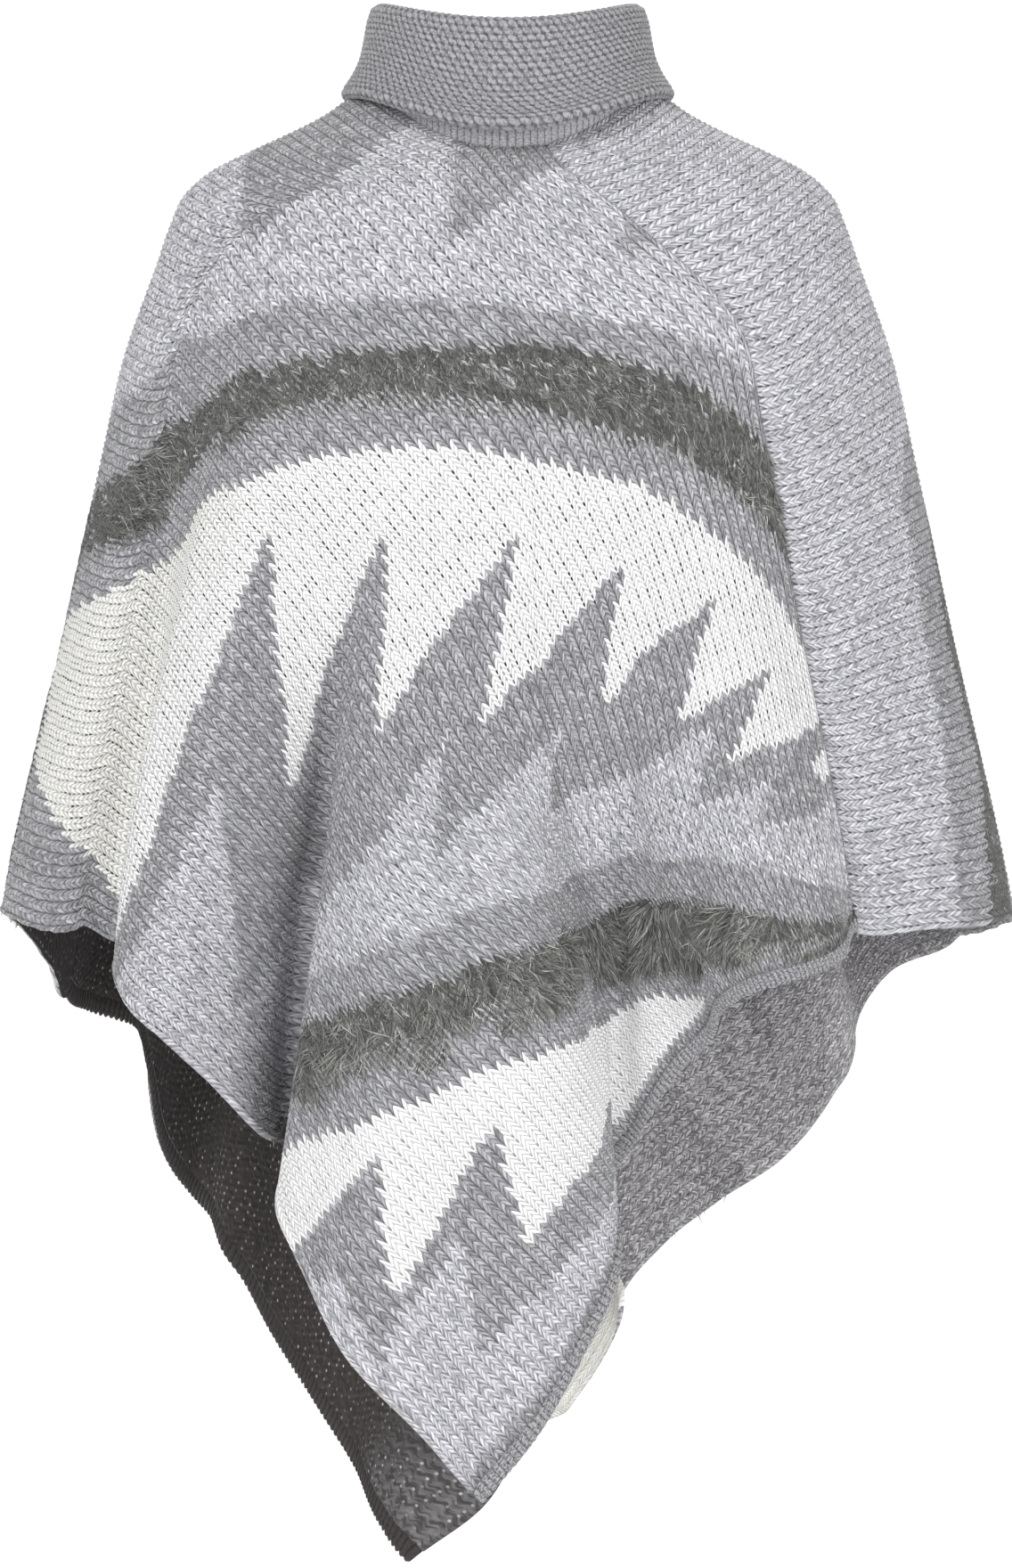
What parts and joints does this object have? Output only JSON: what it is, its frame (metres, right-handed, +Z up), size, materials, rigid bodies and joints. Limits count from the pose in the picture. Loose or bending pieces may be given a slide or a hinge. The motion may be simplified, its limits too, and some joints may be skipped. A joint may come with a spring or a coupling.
{
  "type": "knitted poncho sweater",
  "caption": "Roll-neck knitted poncho sweater, hollow as worn, with a hanging point at the front and the back, in grey marl with sawtooth and fur-like bands",
  "frame": {"origin": "centre of the neck, level with the tops of the shoulders, where the wearer's neck and shoulders hold the garment", "axes": "+Z up, -Y to the front, +X to the wearer's left"},
  "size_m": [0.651, 0.3493, 1.0152],
  "materials": {
    "patterned_knit": "chunky wool-mix stocking stitch, grey marl with white, mid-grey and fur-like bands",
    "grey_knit": "chunky wool-mix knit, mid grey"
  },
  "bodies": {
    "root": {"front_panel": "patterned_knit", "back_panel": "patterned_knit", "front_edging": "grey_knit", "back_edging": "grey_knit", "roll_collar": "grey_knit"}
  },
  "joints": []
}
